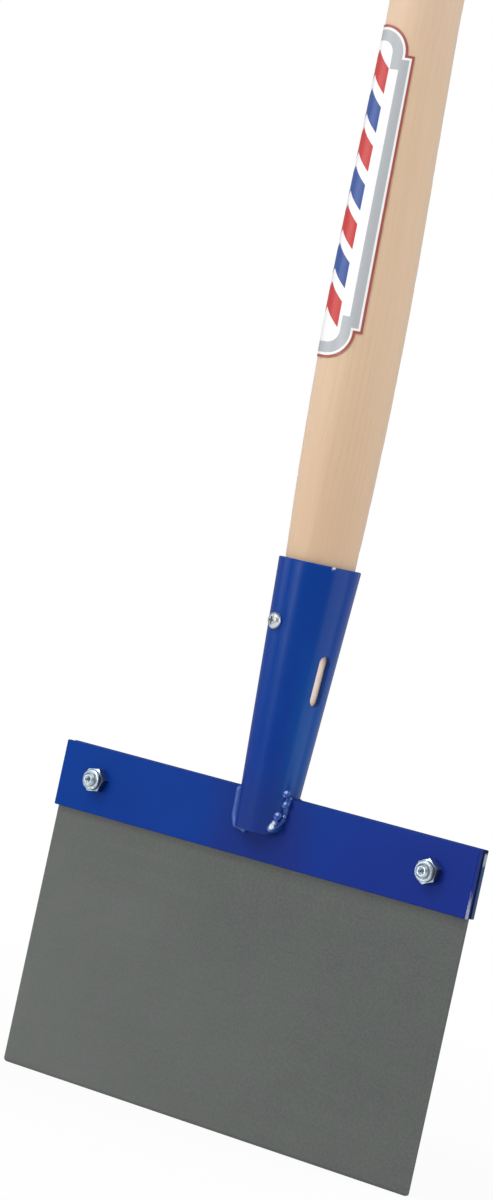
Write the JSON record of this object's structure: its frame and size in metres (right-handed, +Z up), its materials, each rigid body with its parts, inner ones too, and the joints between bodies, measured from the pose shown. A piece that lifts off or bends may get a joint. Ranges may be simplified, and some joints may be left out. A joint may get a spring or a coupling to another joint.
{
  "type": "concrete scraper",
  "caption": "Long-handled concrete scraper: a flat steel blade bolted between two blue plates, welded to a conical socket on a wooden handle.",
  "frame": {"origin": "middle of the scraping edge, in the middle plane of the blade", "axes": "+Z up the tool from the edge to the handle, -Y to the front with the nuts, +X to the right seen from the front"},
  "size_m": [0.222, 0.0946, 1.4537],
  "materials": {
    "blade_steel": "dull grey hardened sheet",
    "blue_paint": "glossy blue paint",
    "ash_wood": "sanded, unvarnished",
    "zinc_plate": "bright zinc plating",
    "nylon": "white nylon",
    "label_film": "printed film"
  },
  "bodies": {
    "root": {"blade": "blade_steel", "holder_plate_front": "blue_paint", "holder_plate_back": "blue_paint", "socket": "blue_paint", "handle": "ash_wood", "handle_label": "label_film", "socket_screw": "zinc_plate", "blade_bolt_left": "zinc_plate", "bolt_washer_left": "zinc_plate", "lock_nut_left": "zinc_plate", "nut_insert_left": "nylon", "blade_bolt_right": "zinc_plate", "bolt_washer_right": "zinc_plate", "lock_nut_right": "zinc_plate", "nut_insert_right": "nylon", "weld_front_left": "blue_paint", "weld_front_right": "blue_paint", "weld_back_left": "blue_paint", "weld_back_right": "blue_paint"}
  },
  "joints": []
}
